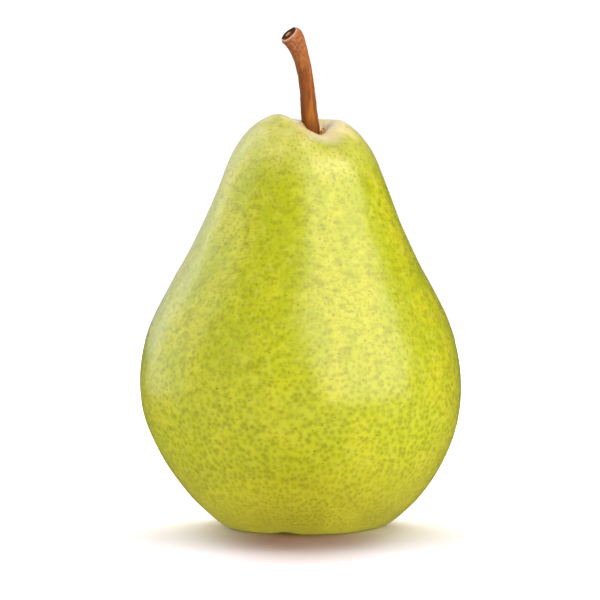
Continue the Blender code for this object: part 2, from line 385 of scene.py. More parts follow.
class NodeBoard:
    """Lays out and wires the nodes of one material."""

    def __init__(self, name: str) -> None:
        """Start a material with only its shader and output.

        Args:
            name: Name of the material.
        """
        self.material = bpy.data.materials.new(name)
        self.material.use_nodes = True
        self.nodes = self.material.node_tree.nodes
        self.links = self.material.node_tree.links
        self.shader = self.nodes["Principled BSDF"]
        mapping = self.add("ShaderNodeMapping", Vector=self.add("ShaderNodeTexCoord").outputs["Object"])
        mapping.inputs["Scale"].default_value = (1.0 / MM, 1.0 / MM, 1.0 / MM)
        self.place = mapping.outputs["Vector"]  # object coordinates in millimetres

    def feed(self, target: Socket, value: Value | Sequence[float]) -> None:
        """Wire a socket, or set it to a constant.

        Args:
            target: Input to fill.
            value: Output to wire from, or the constant.
        """
        if isinstance(value, bpy.types.NodeSocket):
            self.links.new(value, target)
        else:
            target.default_value = value

    def add(
        self, kind: str, settings: dict[str, object] | None = None, **inputs: object
    ) -> bpy.types.Node:
        """Add a node, set it up and fill its inputs.

        Args:
            kind: Node type.
            settings: Values of the node's own properties.
            inputs: Values or outputs for its inputs, by their names with _ for a space.

        Returns:
            The node.
        """
        node = self.nodes.new(kind)
        for name, value in (settings or {}).items():
            setattr(node, name, value)
        for name, value in inputs.items():
            self.feed(node.inputs[name.replace("_", " ")], value)
        return node

    def calc(self, operation: str, first: Value, second: Value = 0.0, third: Value = 0.0) -> Socket:
        """Do one sum.

        Args:
            operation: Math node operation.
            first: First number.
            second: Second number.
            third: Third number.

        Returns:
            The result.
        """
        node = self.add("ShaderNodeMath", {"operation": operation})
        for target, value in zip(node.inputs, (first, second, third)):
            self.feed(target, value)
        return node.outputs[0]

    def step(self, value: Value, start: float, end: float, low: float = 0.0, high: float = 1.0) -> Socket:
        """Map a value with a smooth step.

        Args:
            value: Value to map.
            start: Where the step leaves low.
            end: Where the step reaches high; it may be less than start.
            low: Result before the step.
            high: Result after the step.

        Returns:
            The mapped value.
        """
        if end < start:
            start, end, low, high = end, start, high, low
        node = self.add("ShaderNodeMapRange", {"interpolation_type": "SMOOTHSTEP"}, Value=value)
        for name, number in zip(("From Min", "From Max", "To Min", "To Max"), (start, end, low, high)):
            node.inputs[name].default_value = number
        return node.outputs["Result"]

    def mix(self, share: Value, first: Value, second: Value) -> Socket:
        """Mix two numbers.

        Args:
            share: Share of the second number.
            first: First number.
            second: Second number.

        Returns:
            The mixed number.
        """
        node = self.add("ShaderNodeMix", {"data_type": "FLOAT"})
        for index, value in ((0, share), (2, first), (3, second)):
            self.feed(node.inputs[index], value)
        return node.outputs[0]

    def lay(
        self, under: Colour | Socket, over: Colour | Socket, mask: Socket, strength: Value = 1.0
    ) -> Socket:
        """Lay one colour over another where a mask says.

        Args:
            under: Colour below.
            over: Colour laid on it.
            mask: Where it is laid, from 0 to 1.
            strength: How much it covers where the mask is 1.

        Returns:
            The mixed colour.
        """
        node = self.add("ShaderNodeMix", {"data_type": "RGBA"})
        self.feed(node.inputs[0], mask if strength == 1.0 else self.calc("MULTIPLY", mask, strength))
        for target, colour in ((node.inputs[6], under), (node.inputs[7], over)):
            self.feed(target, colour if isinstance(colour, bpy.types.NodeSocket) else (*colour, 1.0))
        return node.outputs[2]

    def noise(self, size: float, detail: float = 2.0, place: Socket | None = None) -> Socket:
        """Add a noise pattern.

        Args:
            size: Size of the pattern's lumps in millimetres.
            detail: Octaves of finer detail.
            place: Coordinates, the object's own in millimetres if left out.

        Returns:
            The pattern's value.
        """
        place = place or self.place
        return self.add("ShaderNodeTexNoise", Vector=place, Scale=1.0 / size, Detail=detail).outputs["Fac"]

    def cells(self, size: float, place: Socket) -> bpy.types.Node:
        """Add a pattern of scattered cells.

        Args:
            size: Usual distance between two cells in millimetres.
            place: Coordinates.

        Returns:
            The Voronoi node.
        """
        return self.add("ShaderNodeTexVoronoi", Vector=place, Scale=1.0 / size)

    def uneven(self, cell: bpy.types.Node, amount: float) -> Socket:
        """Give each cell its own reach.

        Args:
            cell: Pattern of cells.
            amount: Most that the distance grows by, as a share of the cells' spacing.

        Returns:
            The distance from the nearest cell's middle, greater in some cells than in others.
        """
        chance = self.axis("X", cell.outputs["Color"])
        return self.calc("MULTIPLY_ADD", chance, amount, cell.outputs["Distance"])

    def vector(self, operation: str, *values: Socket | Sequence[float]) -> bpy.types.Node:
        """Do one sum on coordinates.

        Args:
            operation: Vector math node operation.
            values: Its inputs in order.

        Returns:
            The node.
        """
        node = self.add("ShaderNodeVectorMath", {"operation": operation})
        for target, value in zip(node.inputs, values):
            self.feed(target, value)
        return node

    def stretched(self, scale: tuple[float, float, float]) -> Socket:
        """Scale the object's coordinates differently along each axis.

        Args:
            scale: Factor along X, Y and Z; under 1 draws the pattern out.

        Returns:
            The scaled coordinates.
        """
        return self.vector("MULTIPLY", self.place, scale).outputs[0]

    def warped(self, place: Socket, size: float, amount: float) -> Socket:
        """Push coordinates about with a noise pattern.

        Args:
            place: Coordinates to push.
            size: Size of the pattern's lumps in millimetres.
            amount: Farthest push in millimetres.

        Returns:
            The pushed coordinates.
        """
        cloud = self.noise(size, 1.0, place).node.outputs["Color"]
        push = self.vector("MULTIPLY_ADD", cloud, (2.0 * amount,) * 3, (-amount,) * 3).outputs[0]
        return self.vector("ADD", place, push).outputs[0]

    def axis(self, name: str, place: Socket | None = None) -> Socket:
        """Return one coordinate in millimetres.

        Args:
            name: X, Y or Z.
            place: Coordinates, the object's own if left out.

        Returns:
            The coordinate.
        """
        return self.add("ShaderNodeSeparateXYZ", Vector=place or self.place).outputs[name]

    def distance(self, point: Vector, place: Socket | None = None) -> Socket:
        """Return the distance from a point in millimetres.

        Args:
            point: The point in metres.
            place: Coordinates, the object's own if left out.

        Returns:
            The distance.
        """
        return self.vector("DISTANCE", place or self.place, point / MM).outputs["Value"]

    def bump(self, layers: Sequence[tuple[Socket, float]]) -> None:
        """Stack height patterns into the shader's normal.

        Args:
            layers: Each pattern with its height in millimetres.
        """
        normal = None
        for height, depth in layers:
            node = self.add("ShaderNodeBump", Height=height)
            node.inputs["Strength"].default_value = 1.0
            node.inputs["Distance"].default_value = depth * MM
            if normal:
                self.feed(node.inputs["Normal"], normal)
            normal = node.outputs["Normal"]
        self.feed(self.shader.inputs["Normal"], normal)

    def shade(self, colour: Socket, roughness: Value, **constants: object) -> bpy.types.Material:
        """Fill the shader and return the material.

        Args:
            colour: Base colour.
            roughness: Roughness.
            constants: Further shader inputs, by their names with _ for a space.

        Returns:
            The finished material.
        """
        self.feed(self.shader.inputs["Base Color"], colour)
        self.feed(self.shader.inputs["Roughness"], roughness)
        for name, value in constants.items():
            self.shader.inputs[name.replace("_", " ")].default_value = value
        return self.material


@dataclass(frozen=True)
class PearSkin:
    """Waxy yellow-green skin with soft green dots, pinpoints, russet at the stalk and the eye, painted
    sheen on the crown and painted shade in the crease by the stalk.

    Attributes:
        height: Height of the fruit.
        belly: Greatest radius of the fruit.
        stalk_foot: Where the stalk leaves the flesh.
        eye: Middle of the calyx basin.
        green_bands: Greener streaks, each as its turn from the front, its reach and its strength.
        loose_spacing: Distance between two loosely strewn dots, in mm.
        belly_spacing: Distance between two dots of the belly, in mm.
        neck_spacing: Distance between two dots of the neck, in mm.
        belly_edge: Where a dot of the belly has faded, as a share of the spacing.
        neck_edge: Where a dot of the neck has faded, as a share of the spacing.
        seam: Turns from the front between which the even dots give way to loose ones.
        crown_middle: Middle of the crown's russet and its painted sheen, in mm from the stalk's foot.
        crease_shade_middle: Middle of the painted shade in the crease by the stalk, in mm from the stalk's
            foot.
        roughness: Usual roughness of the wax.
    """

    height: float
    belly: float
    stalk_foot: Vector
    eye: Vector
    yellow: Colour = (0.438, 0.438, 0.005)
    green: Colour = (0.340, 0.384, 0.000)
    smear: Colour = (0.286, 0.304, 0.000)
    pale: Colour = (0.490, 0.500, 0.040)
    olive: Colour = (0.420, 0.375, 0.035)
    lace: Colour = (0.465, 0.485, 0.010)
    # painted sheen: a pale cream laid over the crown where the overhead light gleams
    painted_crown_sheen: Colour = (0.590, 0.550, 0.170)
    dot: Colour = (0.190, 0.205, 0.002)
    pinpoint: Colour = (0.060, 0.045, 0.012)
    rust: Colour = (0.400, 0.240, 0.020)
    # russet of the stalk cavity, partly real russet and partly lightened as painted sheen
    crown_russet_and_sheen: Colour = (0.670, 0.550, 0.330)
    # painted shade: a dark colour laid in the fold beside the stalk
    crease: Colour = (0.300, 0.200, 0.050)
    eye_russet: Colour = (0.230, 0.140, 0.035)
    green_bands: tuple[tuple[float, float, float], ...] = (
        (-0.22, 0.40, 0.07),
        (0.80, 0.30, 0.07),
        (2.6, 0.5, 0.06),
    )
    loose_spacing: float = 1.45
    belly_spacing: float = 1.42
    neck_spacing: float = 1.55
    belly_edge: float = 0.37
    neck_edge: float = 0.34
    seam: tuple[float, float] = (3.00, 3.12)
    crown_middle: Vector = Vector((1.8, -2.2, -0.3))
    crease_shade_middle: Vector = Vector((3.3, -0.2, 0.8))
    roughness: float = 0.33

    def rise(self, board: NodeBoard, start: float, end: float) -> Socket:
        """Step from 0 to 1 up or down the fruit.

        Args:
            board: Material being laid out.
            start: Where the step leaves 0, as a share of the height.
            end: Where the step reaches 1, as a share of the height.

        Returns:
            The step.
        """
        height = self.height / MM
        return board.step(board.axis("Z"), start * height, end * height)

    def loose_dots(self, board: NodeBoard) -> tuple[Socket, Socket]:
        """Strew dots loosely all over, drawn together on the flat crown.

        Args:
            board: Material being laid out.

        Returns:
            Shares of the dots and of the pinpoints in some of them.
        """
        top = self.rise(board, 0.55, 1.0)
        squash = board.calc("MULTIPLY_ADD", board.calc("MULTIPLY", top, top), 22.0, board.axis("Z"))
        squashed = board.add("ShaderNodeCombineXYZ", X=board.axis("X"), Y=board.axis("Y"), Z=squash)
        cell = board.cells(self.loose_spacing, board.warped(squashed.outputs[0], 1.3, 0.30))
        loose = board.step(board.uneven(cell, 0.16), 0.56, 0.14)
        core = board.step(cell.outputs["Distance"], 0.18, 0.05)
        rare = board.step(board.axis("Y", cell.outputs["Color"]), 0.50, 0.56)
        return loose, board.calc("MULTIPLY", core, rare)

    def wrapped_dots(
        self, board: NodeBoard, place: tuple[Socket, Socket], spacing: float, edge: float, low: Socket
    ) -> tuple[Socket, Socket]:
        """Lay evenly spaced dots round the body.

        Args:
            board: Material being laid out.
            place: Distances round and up the body in millimetres.
            spacing: Distance between two dots in millimetres.
            edge: Where a dot has faded out, as a share of the spacing.
            low: 1 at the base, 0 at the neck.

        Returns:
            Shares of the dots and of the net between them.
        """
        wrapped = board.add("ShaderNodeCombineXYZ", X=place[0], Y=place[1]).outputs[0]
        cell = board.cells(spacing, board.warped(wrapped, 2.2, 0.40))
        cell.voronoi_dimensions = "2D"
        cell.inputs["Randomness"].default_value = 0.9
        reach = board.calc("MULTIPLY_ADD", low, -0.05, board.uneven(cell, 0.12))
        return board.step(reach, edge + 0.13, 0.02), board.step(cell.outputs["Distance"], 0.30, 0.70)

    def dots(self, board: NodeBoard, turn: Socket, low: Socket) -> tuple[Socket, Socket, Socket]:
        """Lay even dots on the belly and the neck, and loose ones where those would stretch.

        Args:
            board: Material being laid out.
            turn: Angle round the body from the front.
            low: 1 at the base, 0 at the neck.

        Returns:
            Shares of the dot colour, of the pinpoint colour and of the pale net between the low dots.
        """
        level, belly = board.axis("Z"), self.belly / MM
        loose, pinpoints = self.loose_dots(board)
        sunk = board.calc("EXPONENT", board.calc("MULTIPLY", level, -0.2))
        place = (board.calc("MULTIPLY", turn, belly), board.calc("MULTIPLY_ADD", sunk, -10.0, level))
        belly_dots, gap = self.wrapped_dots(board, place, self.belly_spacing, self.belly_edge, low)
        risen = board.calc("EXPONENT", board.calc("MULTIPLY_ADD", level, 0.2, -0.2 * self.height / MM))
        place = (board.calc("MULTIPLY", turn, 0.6 * belly), board.calc("MULTIPLY_ADD", risen, 9.0, level))
        neck_dots, _ = self.wrapped_dots(board, place, self.neck_spacing, self.neck_edge, low)
        even = board.mix(self.rise(board, 0.60, 0.66), belly_dots, neck_dots)
        seam = board.step(board.calc("ABSOLUTE", turn), *self.seam)
        apart = board.calc("MAXIMUM", seam, board.step(level, 3.0, 1.2))
        apart = board.calc("MAXIMUM", apart, self.rise(board, 0.94, 0.97))
        patchy = board.step(board.noise(7.0, 2.0), 0.35, 0.62, 0.60, 1.0)
        soft = board.calc("MULTIPLY", board.mix(apart, even, loose), patchy)
        return soft, pinpoints, board.calc("MULTIPLY", low, gap)

    def ground(self, board: NodeBoard, turn: Socket) -> tuple[Socket, Socket]:
        """Mottle the skin under the dots.

        Args:
            board: Material being laid out.
            turn: Angle round the body from the front.

        Returns:
            The colour and the share of green in it.
        """
        streaks = board.noise(6.5, 5.0, board.warped(board.stretched((1.0, 1.0, 0.6)), 5.0, 2.0))
        clouds = board.calc("MULTIPLY", board.noise(15.0, 2.0), 0.4)
        mottle = board.calc("MULTIPLY_ADD", streaks, 0.6, clouds)
        for middle, reach, weight in self.green_bands:
            aside = board.calc("ABSOLUTE", board.calc("SUBTRACT", turn, middle))
            mottle = board.calc("MULTIPLY_ADD", board.step(aside, reach, 0.2 * reach), weight, mottle)
        green_share = board.step(mottle, 0.43, 0.57, 0.0, 0.95)
        colour = board.lay(self.yellow, self.green, green_share)
        grain = board.noise(0.6, 3.0, board.stretched((0.8, 0.8, 1.3)))
        colour = board.lay(colour, self.smear, board.step(grain, 0.42, 0.66), 0.45)
        fine = board.noise(2.0, 5.0, board.stretched((0.75, 0.75, 1.5)))
        colour = board.lay(colour, self.smear, board.step(fine, 0.50, 0.62), 0.85)
        washed = board.noise(2.2, 5.0, board.warped(board.place, 3.0, 1.0))
        return board.lay(colour, self.pale, board.step(washed, 0.47, 0.70), 0.42), green_share

    def russet(self, board: NodeBoard, colour: Socket) -> Socket:
        """Lay the russet of the crown, lightened as painted sheen, and of the eye, and the painted shade in
        the crease by the stalk.

        Args:
            board: Material being laid out.
            colour: Colour of the skin so far.

        Returns:
            The colour with the russet on it.
        """
        ragged = board.warped(board.place, 2.6, 1.2)
        # russet round the stalk, partly lightened as painted sheen
        crown = board.distance(self.stalk_foot + self.crown_middle * MM, ragged)
        colour = board.lay(colour, self.crown_russet_and_sheen, board.step(crown, 9.5, 3.6), 0.85)
        # painted shade darkens the fold beside the stalk
        crease = board.distance(self.stalk_foot + self.crease_shade_middle * MM)
        colour = board.lay(colour, self.crease, board.step(crease, 1.9, 0.5), 0.6)
        eye = board.distance(self.eye, ragged)
        return board.lay(colour, self.eye_russet, board.step(eye, 11.0, 4.0), 0.85)

    def material(self) -> bpy.types.Material:
        """Build the finish."""
        board = NodeBoard("pear_skin_finish")
        turn = board.calc("ARCTAN2", board.axis("X"), board.calc("MULTIPLY", board.axis("Y"), -1.0))
        low = self.rise(board, 0.62, 0.15)
        colour, green_share = self.ground(board, turn)
        soft, pinpoints, net = self.dots(board, turn, low)
        colour = board.lay(colour, self.lace, net, 0.55)
        colour = board.lay(colour, self.olive, self.rise(board, 0.26, 0.01), 0.60)
        # painted sheen on the crown, weaker where the skin is greener
        crown_sheen_share = board.calc("MULTIPLY_ADD", green_share, -0.60, 0.95)
        colour = board.lay(colour, self.painted_crown_sheen, self.rise(board, 0.82, 0.97), crown_sheen_share)
        colour = board.lay(colour, self.dot, soft, board.calc("MULTIPLY_ADD", low, -0.12, 0.60))
        colour = board.lay(colour, self.rust, board.step(board.noise(3.2, 3.0), 0.68, 0.80), 0.35)
        colour = board.lay(colour, self.pinpoint, pinpoints, 0.75)
        wax = board.step(board.noise(3.0, 2.0), 0.3, 0.7, self.roughness - 0.05, self.roughness + 0.06)
        board.bump(((board.noise(3.0, 1.5), 0.12), (board.noise(0.8, 2.0), 0.032), (soft, 0.010)))
        return board.shade(
            self.russet(board, colour),
            wax,
            IOR=1.45,
            Subsurface_Weight=0.12,
            Subsurface_Radius=(1.0, 0.8, 0.15),
            Subsurface_Scale=0.002,
            Coat_Weight=0.75,
            Coat_Roughness=0.25,
        )


@dataclass(frozen=True)
class StalkBark:
    """Smooth orange-brown bark that turns corky and paler towards the hollow scar at the tip, with painted
    shade on its left side and at its foot, and golden streaks that are partly painted highlight.

    Attributes:
        foot: Height at which the stalk leaves the flesh.
        tip: Middle of the scar's rim.
        facing: Direction that the scar faces.
        lean: How far the stalk goes left for each mm up.
        hook_length: Length of the tip that bends further left, in mm.
        hook_lean: How much further it goes left for each mm up.
        side: Where the painted shade on the left side begins and is darkest, in mm along the lean.
    """

    foot: float
    tip: Vector
    facing: Vector
    smooth: Colour = (0.235, 0.069, 0.014)
    deep: Colour = (0.105, 0.032, 0.007)
    # golden bark tone, partly a painted highlight along the stalk
    gold_and_sheen: Colour = (0.400, 0.145, 0.018)
    cork: Colour = (0.230, 0.075, 0.025)
    pale: Colour = (0.370, 0.158, 0.066)
    cut: Colour = (0.060, 0.016, 0.005)
    pith: Colour = (0.520, 0.330, 0.220)
    groove: Colour = (0.170, 0.032, 0.010)
    lip: Colour = (0.620, 0.450, 0.340)
    lean: float = 0.11
    hook_length: float = 8.5
    hook_lean: float = 0.28
    side: tuple[float, float] = (12.3, 10.7)

    def cork_ground(self, board: NodeBoard) -> tuple[Socket, Socket]:
        """Lay out the crumbly bark of the tip.

        Args:
            board: Material being laid out.

        Returns:
            Its colour and the height of its grains.
        """
        grains = board.noise(0.55, 3.0, board.stretched((1.0, 1.0, 0.7)))
        crumbs = board.cells(0.38, board.warped(board.place, 0.6, 0.2)).outputs["Distance"]
        colour = board.lay(self.pale, self.cork, board.step(grains, 0.38, 0.56))
        colour = board.lay(colour, self.cork, board.step(crumbs, 0.25, 0.65), 0.35)
        return board.lay(colour, self.deep, board.step(board.noise(0.45, 2.0), 0.56, 0.70), 0.6), grains

    def painted_shade_left(self, board: NodeBoard) -> Socket:
        """Find the left side that gets painted shade, which follows the stalk's bend.

        Args:
            board: Material being laid out.

        Returns:
            1 on the left side, 0 on the rest.
        """
        level = board.axis("Z")
        straight = board.calc("MULTIPLY_ADD", level, self.lean, board.axis("X"))
        hook = board.calc("SUBTRACT", level, self.tip.z / MM - self.hook_length)
        bent = board.calc("MULTIPLY_ADD", board.calc("MAXIMUM", hook, 0.0), self.hook_lean, straight)
        return board.step(bent, *self.side)

    def scar(self, board: NodeBoard, colour: Socket) -> Socket:
        """Colour the rim, the dark hollow of the scar and what is left of the pith.

        Args:
            board: Material being laid out.
            colour: Colour of the bark so far.

        Returns:
            The colour with the scar in it.
        """
        ahead = board.vector("SUBTRACT", board.place, self.tip / MM).outputs[0]
        depth = board.vector("DOT_PRODUCT", ahead, self.facing).outputs["Value"]
        colour = board.lay(colour, self.pale, board.step(depth, -0.75, -0.1), 0.6)
        across = board.distance(self.tip, board.warped(board.place, 0.5, 0.12))
        colour = board.lay(colour, self.cut, board.step(across, 2.00, 1.82))
        lip = board.calc("MULTIPLY", board.step(across, 2.35, 2.10), board.step(across, 1.86, 1.98))
        colour = board.lay(colour, self.lip, lip, 0.50)
        ragged = board.warped(board.place, 0.6, 0.35)
        for middle, outer, inner, tone, strength in (
            ((-0.30, 0.40, 0.15), 1.00, 0.35, self.pith, 0.85),
            ((0.45, -0.55, 0.0), 0.80, 0.20, self.groove, 0.7),
        ):
            spot = board.distance(self.tip + Vector(middle) * MM, ragged)
            colour = board.lay(colour, tone, board.step(spot, outer, inner), strength)
        return colour

    def material(self) -> bpy.types.Material:
        """Build the finish."""
        board = NodeBoard("stalk_bark_finish")
        level, foot, tip = board.axis("Z"), self.foot / MM, self.tip.z / MM
        fibres = board.noise(0.34, 3.0, board.stretched((1.0, 1.0, 0.07)))
        blotches = board.noise(1.8, 3.0, board.stretched((1.0, 1.0, 0.40)))
        # golden streaks along the stalk: partly bark tone, partly painted highlight
        gold_and_sheen = board.noise(1.1, 2.0, board.stretched((1.0, 1.0, 0.10)))
        colour = board.lay(self.smooth, self.deep, board.step(fibres, 0.35, 0.72), 0.55)
        colour = board.lay(colour, self.deep, board.step(blotches, 0.42, 0.70), 0.40)
        colour = board.lay(colour, self.gold_and_sheen, board.step(gold_and_sheen, 0.50, 0.66), 0.5)
        corky = board.step(board.calc("MULTIPLY_ADD", blotches, 5.0, level), tip - 7.5, tip - 1.0)
        cork_colour, grains = self.cork_ground(board)
        colour = board.lay(colour, cork_colour, corky, 0.9)
        # painted shade on the stalk's left side
        colour = board.lay(colour, self.deep, self.painted_shade_left(board), 0.55)
        # painted shade: the stalk darkens towards its foot, where it sinks into the cavity
        colour = board.lay(colour, self.deep, board.step(level, foot + 3.5, foot), 0.55)
        rough = board.calc("MULTIPLY_ADD", corky, 0.20, 0.50)
        rough = board.calc("MULTIPLY_ADD", fibres, 0.12, rough)
        grit = board.calc("MULTIPLY", grains, corky)
        board.bump(((fibres, 0.05), (grit, 0.13), (blotches, 0.05)))
        return board.shade(self.scar(board, colour), rough, IOR=1.40, Specular_IOR_Level=0.15)


@dataclass(frozen=True)
class DriedTissue:
    """Dry brown plant tissue with veins and burnt edges, for sepals, threads and the foot scale.

    Attributes:
        name: Name of the finish.
        light: Colour between the veins.
        dark: Colour of the veins and blotches.
        vein: Usual width of a vein in mm.
        roughness: Usual roughness.
    """

    name: str
    light: Colour
    dark: Colour
    vein: float
    roughness: float = 0.78

    def material(self) -> bpy.types.Material:
        """Build the finish."""
        board = NodeBoard(self.name)
        veins = board.noise(self.vein, 3.0, board.stretched((1.0, 1.0, 0.35)))
        blotches = board.noise(1.3, 3.0)
        colour = board.lay(self.light, self.dark, board.step(veins, 0.38, 0.62))
        colour = board.lay(colour, self.dark, board.step(blotches, 0.42, 0.62), 0.6)
        rough = board.step(veins, 0.3, 0.7, self.roughness - 0.12, self.roughness + 0.1)
        board.bump(((veins, 0.06), (blotches, 0.08)))
        return board.shade(colour, rough, IOR=1.4)


# ---------------------------------------------------------------- fruit


@dataclass(frozen=True)
class Crown:
    """Shape of the crown round the stalk, as heights read by direction and distance from its foot.

    Attributes:
        foot: Middle of the stalk where it leaves the flesh.
        reaches: Distances from the foot, in mm, at which the heights are given.
        heights: Heights in mm, one row for each direction, from +X round by +Y.
        fades: How much of the last difference is left at the reaches beyond the rows.
        crease: Ends of the fold in the cavity wall, in mm from the foot.
        crease_width: Half width of the fold.
        crease_depth: Depth of the fold.
        hollow: Distances in mm between which the flesh plunges into the stalk's socket.
        plunge: How far it plunges.
    """

    foot: Vector
    reaches: tuple[float, ...] = (1.8, 2.8, 4.0, 5.5, 7.5, 9.5, 13.0, 18.0)
    heights: tuple[tuple[float, ...], ...] = (
        (88.6, 89.2, 90.5, 91.6, 91.3, 89.9),
        (89.2, 89.9, 91.0, 91.7, 91.3, 90.1),
        (89.9, 90.7, 91.4, 91.6, 91.0, 89.7),
        (90.3, 91.0, 91.4, 91.4, 90.8, 89.7),
        (90.7, 91.2, 91.4, 91.5, 91.1, 90.3),
        (91.2, 91.4, 91.6, 92.0, 92.1, 91.4),
        (91.4, 91.6, 91.9, 92.6, 93.1, 92.5),
        (91.0, 91.3, 91.7, 92.3, 92.5, 91.8),
        (89.9, 90.3, 90.8, 91.1, 90.9, 90.1),
        (88.8, 89.0, 89.4, 89.6, 89.3, 88.5),
        (88.1, 88.2, 88.5, 88.6, 88.2, 87.3),
        (88.1, 88.4, 89.4, 90.4, 90.4, 89.4),
    )
    fades: tuple[float, ...] = (0.48, 0.0)
    crease: tuple[tuple[float, float], ...] = ((2.6, 1.3), (4.7, -2.0))
    crease_width: float = 0.45 * MM
    crease_depth: float = 0.55 * MM
    hollow: tuple[float, float] = (0.8, 1.7)
    plunge: float = 2.0 * MM

    def difference(self, row: int, reach: float, dome: Callable[[float, float], float]) -> float:
        """Compare the crown with the plain dome along one direction.

        Args:
            row: Which direction.
            reach: Distance from the foot in mm.
            dome: Gives the plain dome's height at a place.

        Returns:
            How far the crown lies above the dome.
        """
        turn = math.tau * row / len(self.heights)
        differences = []
        for knot, height in zip(self.reaches, self.heights[row]):
            x = self.foot.x + knot * MM * math.cos(turn)
            y = self.foot.y + knot * MM * math.sin(turn)
            differences.append(height * MM - dome(x, y))
        differences += [differences[-1] * share for share in self.fades]
        return read_curve(self.reaches, differences, reach)

    def fold(self, place: Vector) -> float:
        """Return how deep the fold in the cavity wall is at a place.

        Args:
            place: Place on the crown.

        Returns:
            The depth.
        """
        start, end = (Vector(point) * MM for point in self.crease)
        offset = Vector((place.x - self.foot.x, place.y - self.foot.y)) - start
        along = min(max(offset.dot(end - start) / (end - start).length_squared, 0.0), 1.0)
        beside = (offset - (end - start) * along).length
        return self.crease_depth * (1.0 - fade(beside, 0.0, self.crease_width * 2.0)) * (1.0 - 0.6 * along)

    def shift(self, place: Vector, dome: Callable[[float, float], float]) -> float:
        """Return how far a point of the plain dome moves up.

        Args:
            place: Point on the dome.
            dome: Gives the plain dome's height at a place.

        Returns:
            The rise, negative for a fall.
        """
        offset = Vector((place.x - self.foot.x, place.y - self.foot.y))
        reach = offset.length / MM
        if reach >= self.reaches[-1]:
            return 0.0
        rows = len(self.heights)
        turn = (math.atan2(offset.y, offset.x) % math.tau) * rows / math.tau
        first = int(turn) % rows
        t = turn - int(turn)
        before, start, end, after = (
            self.difference((first + step) % rows, reach, dome) for step in (-1, 0, 1, 2)
        )
        rise = start + 0.5 * t * (end - before + t * (2 * before - 5 * start + 4 * end - after))
        rise += 0.5 * t**3 * (3 * start - 3 * end + after - before)
        return rise - self.plunge * (1.0 - fade(reach, *self.hollow)) - self.fold(place)


